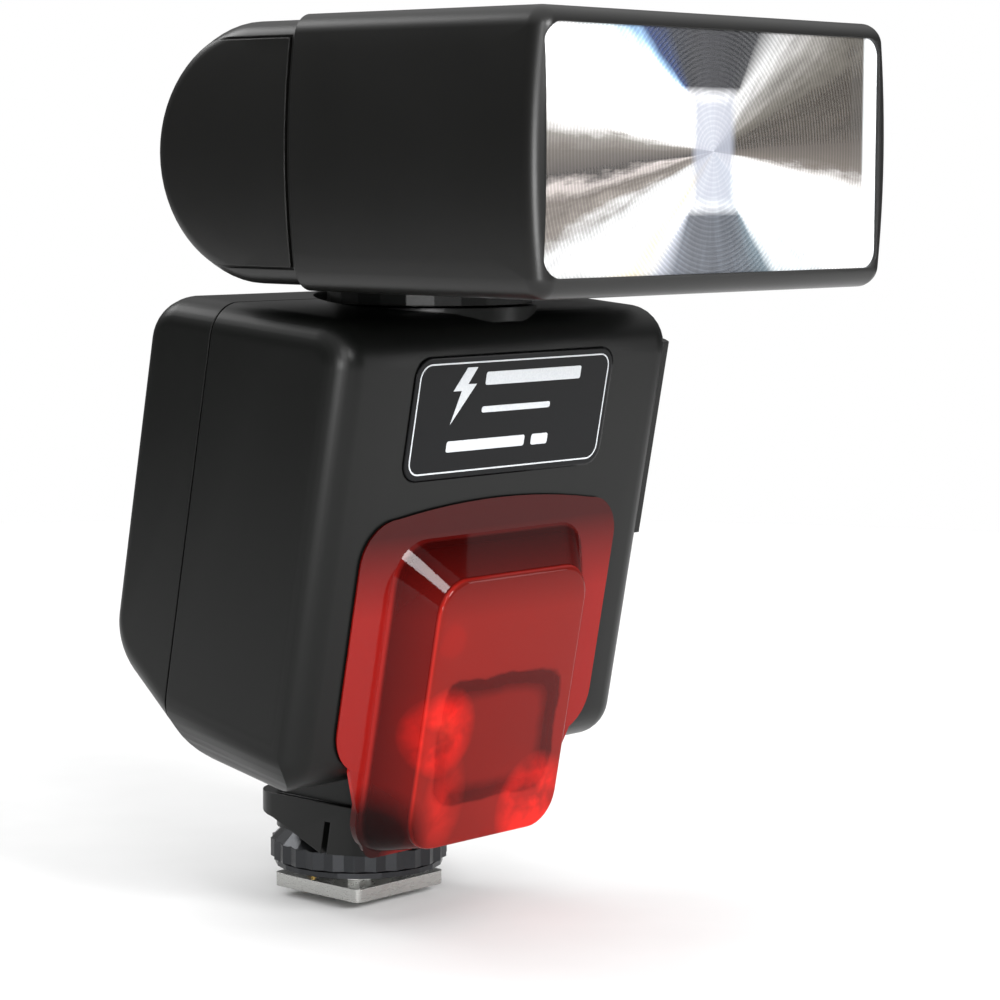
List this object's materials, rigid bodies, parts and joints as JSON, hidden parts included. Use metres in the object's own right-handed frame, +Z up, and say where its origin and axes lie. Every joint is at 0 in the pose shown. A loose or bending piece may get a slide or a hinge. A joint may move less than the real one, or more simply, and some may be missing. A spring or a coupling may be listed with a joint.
{
  "type": "speedlight flash",
  "caption": "Hot-shoe flash with a zooming head that tilts and swivels on a leaning body, a red focus-assist window, a battery door and a knurled lock ring.",
  "frame": {"origin": "middle of the underside of the hot-shoe foot", "axes": "+Z up along the lock ring's axis and the flash's height, -Y where the flash head points, +X towards the battery door"},
  "size_m": [0.0756, 0.0846, 0.1289],
  "materials": {
    "shell_black": "satin moulded ABS with a fine sparked texture",
    "gloss_black": "gloss black plate",
    "red_window": "clear red acrylic, dark when unlit",
    "clear_lens": "clear moulded acrylic",
    "key_grey": "satin grey keys",
    "steel": "machined and plated steel",
    "dark_steel": "blackened steel",
    "brass": "gold-flashed brass contacts",
    "reflector": "bright anodised reflector sheet",
    "circuit": "epoxy circuit board",
    "tube_glass": "quartz flash tube"
  },
  "bodies": {
    "root": {"hot_shoe_foot": "steel", "pedestal": "shell_black", "front_shell": "shell_black", "rear_shell": "shell_black", "af_window": "red_window", "label_plate": "gloss_black", "af_projector": "shell_black", "af_led": "tube_glass", "battery_cell_1": "key_grey", "battery_cell_2": "key_grey", "battery_cell_3": "key_grey", "battery_cell_4": "key_grey", "battery_tray": "shell_black", "inner_contact_plate": "steel", "main_capacitor": "gloss_black", "transformer": "brass", "main_board": "circuit", "display_module": "key_grey", "display_window": "gloss_black", "key_panel": "gloss_black", "shell_screw_1": "dark_steel", "shell_screw_2": "dark_steel", "shell_screw_3": "dark_steel", "swivel_retainer": "shell_black"},
    "washer": {"lock_washer": "dark_steel"},
    "ring": {"lock_ring": "dark_steel"},
    "pin": {"locking_pin": "steel"},
    "centre_contact": {"centre_contact": "brass"},
    "data_contact_1": {"data_contact_1": "brass"},
    "data_contact_2": {"data_contact_2": "brass"},
    "data_contact_3": {"data_contact_3": "brass"},
    "switch": {"power_switch": "key_grey"},
    "mode_key": {"mode_key": "key_grey"},
    "zoom_key": {"zoom_key": "key_grey"},
    "light_key": {"light_key": "key_grey"},
    "test_key": {"test_key": "key_grey"},
    "door_slide": {"door_carriage": "shell_black", "door_hinge_pin": "steel"},
    "door": {"battery_door": "shell_black", "door_contact_plate": "steel"},
    "neck": {"neck": "shell_black", "tilt_axle": "steel", "click_spring": "steel"},
    "head": {"head_front_shell": "shell_black", "head_rear_shell": "shell_black", "side_cap_left": "shell_black", "side_cap_right": "shell_black", "fresnel_lens": "clear_lens", "click_plate": "steel", "zoom_motor": "steel", "guide_rod_left": "steel", "guide_rod_right": "steel"},
    "zoom": {"reflector": "reflector", "flash_tube": "tube_glass"},
    "lead_screw": {"lead_screw": "steel"},
    "pinion": {"motor_pinion": "brass"}
  },
  "joints": [
    {"name": "swivel", "type": "hinge", "parent": "root", "child": "neck", "pos_m": [0, -0.0147, 0.088], "axis": [0, 0, 1], "range_deg": [-90, 180]},
    {"name": "tilt", "type": "hinge", "parent": "neck", "child": "head", "pos_m": [0, -0.0147, 0.1095], "axis": [-1, 0, 0], "range_deg": [0, 90]},
    {"name": "zoom", "type": "slide", "parent": "head", "child": "zoom", "axis": [0, 1, 0], "range_m": [0, 0.017]},
    {"name": "screw_turn", "type": "hinge", "parent": "head", "child": "lead_screw", "pos_m": [0.033, -0.0147, 0.118], "axis": [0, 1, 0], "range_deg": [0, 2160]},
    {"name": "pinion_turn", "type": "hinge", "parent": "head", "child": "pinion", "pos_m": [0.0282, -0.0147, 0.118], "axis": [0, 1, 0], "range_deg": [-2530, 0]},
    {"name": "lock_travel", "type": "slide", "parent": "root", "child": "washer", "axis": [0, 0, 1], "range_m": [0, 0.0012]},
    {"name": "ring_turn", "type": "hinge", "parent": "washer", "child": "ring", "pos_m": [0, 0, 0.005], "axis": [0, 0, 1], "range_deg": [0, 300]},
    {"name": "pin_travel", "type": "slide", "parent": "root", "child": "pin", "axis": [0, 0, 1], "range_m": [0, 0.0012]},
    {"name": "switch_slide", "type": "slide", "parent": "root", "child": "switch", "axis": [1, 0, 0], "range_m": [0, 0.004]},
    {"name": "door_slide", "type": "slide", "parent": "root", "child": "door_slide", "axis": [0, 0.1869, -0.9824], "range_m": [0, 0.003]},
    {"name": "door_hinge", "type": "hinge", "parent": "door_slide", "child": "door", "pos_m": [0.0355, -0.00793, 0.05401], "axis": [0, 0.9824, 0.1869], "range_deg": [0, 105]},
    {"name": "mode_press", "type": "slide", "parent": "root", "child": "mode_key", "axis": [0, -0.9824, -0.1869], "range_m": [0, 0.0006], "stiffness_N_per_m": 300},
    {"name": "zoom_press", "type": "slide", "parent": "root", "child": "zoom_key", "axis": [0, -0.9824, -0.1869], "range_m": [0, 0.0006], "stiffness_N_per_m": 300},
    {"name": "light_press", "type": "slide", "parent": "root", "child": "light_key", "axis": [0, -0.9824, -0.1869], "range_m": [0, 0.0006], "stiffness_N_per_m": 300},
    {"name": "test_press", "type": "slide", "parent": "root", "child": "test_key", "axis": [0, -0.9824, -0.1869], "range_m": [0, 0.0006], "stiffness_N_per_m": 300},
    {"name": "centre_contact_travel", "type": "slide", "parent": "root", "child": "centre_contact", "axis": [0, 0, 1], "range_m": [0, 0.0003], "stiffness_N_per_m": 300},
    {"name": "data_contact_1_travel", "type": "slide", "parent": "root", "child": "data_contact_1", "axis": [0, 0, 1], "range_m": [0, 0.0003], "stiffness_N_per_m": 300},
    {"name": "data_contact_2_travel", "type": "slide", "parent": "root", "child": "data_contact_2", "axis": [0, 0, 1], "range_m": [0, 0.0003], "stiffness_N_per_m": 300},
    {"name": "data_contact_3_travel", "type": "slide", "parent": "root", "child": "data_contact_3", "axis": [0, 0, 1], "range_m": [0, 0.0003], "stiffness_N_per_m": 300}
  ],
  "couplings": [
    {"joint": "screw_turn", "follows": "zoom", "rad_per_m": 2217.5},
    {"joint": "pinion_turn", "follows": "zoom", "rad_per_m": -2587.1},
    {"joint": "ring_turn", "follows": "lock_travel", "rad_per_m": 4362.5},
    {"joint": "pin_travel", "follows": "lock_travel", "ratio": 1}
  ]
}
